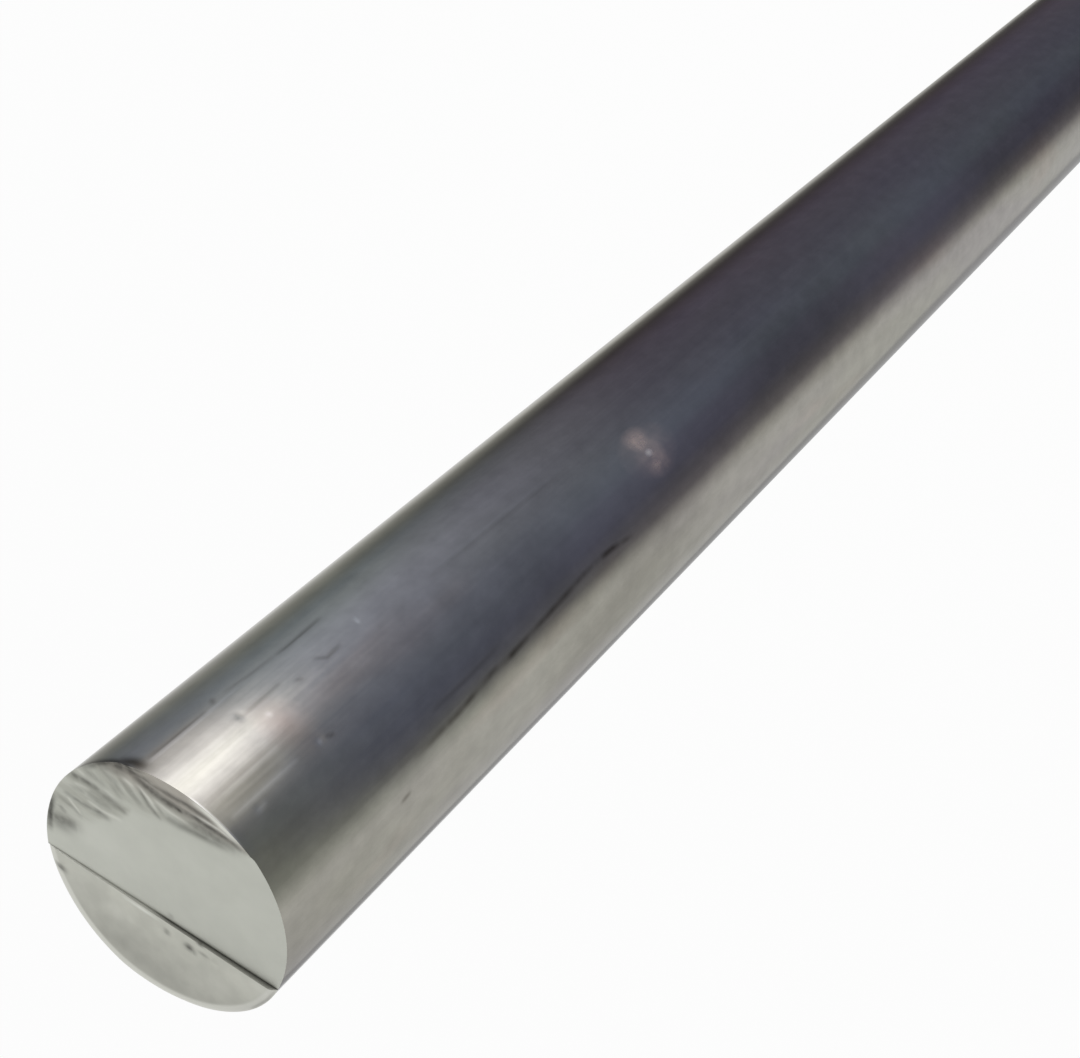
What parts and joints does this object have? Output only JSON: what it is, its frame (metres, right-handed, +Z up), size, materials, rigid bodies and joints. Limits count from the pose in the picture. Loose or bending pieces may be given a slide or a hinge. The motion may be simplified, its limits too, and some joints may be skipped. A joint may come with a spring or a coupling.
{
  "type": "round metal bar",
  "caption": "Straight solid round metal bar with a drawn satin skin, sawn to length; raw stock for shafts, pins, framing and turned parts.",
  "frame": {"origin": "the centre of the square-cut foot, on the floor", "axes": "+Z up the bar's axis from the foot to the top end, whose saw step the picture shows; X along that step; +Y from the axis towards the part of the face that stands proud"},
  "size_m": [0.025, 0.025, 0.5004],
  "materials": {
    "bar_metal": "drawn satin skin with fine lengthwise lines; matt sawn ends"
  },
  "bodies": {
    "root": {"round_bar": "bar_metal"}
  },
  "joints": []
}
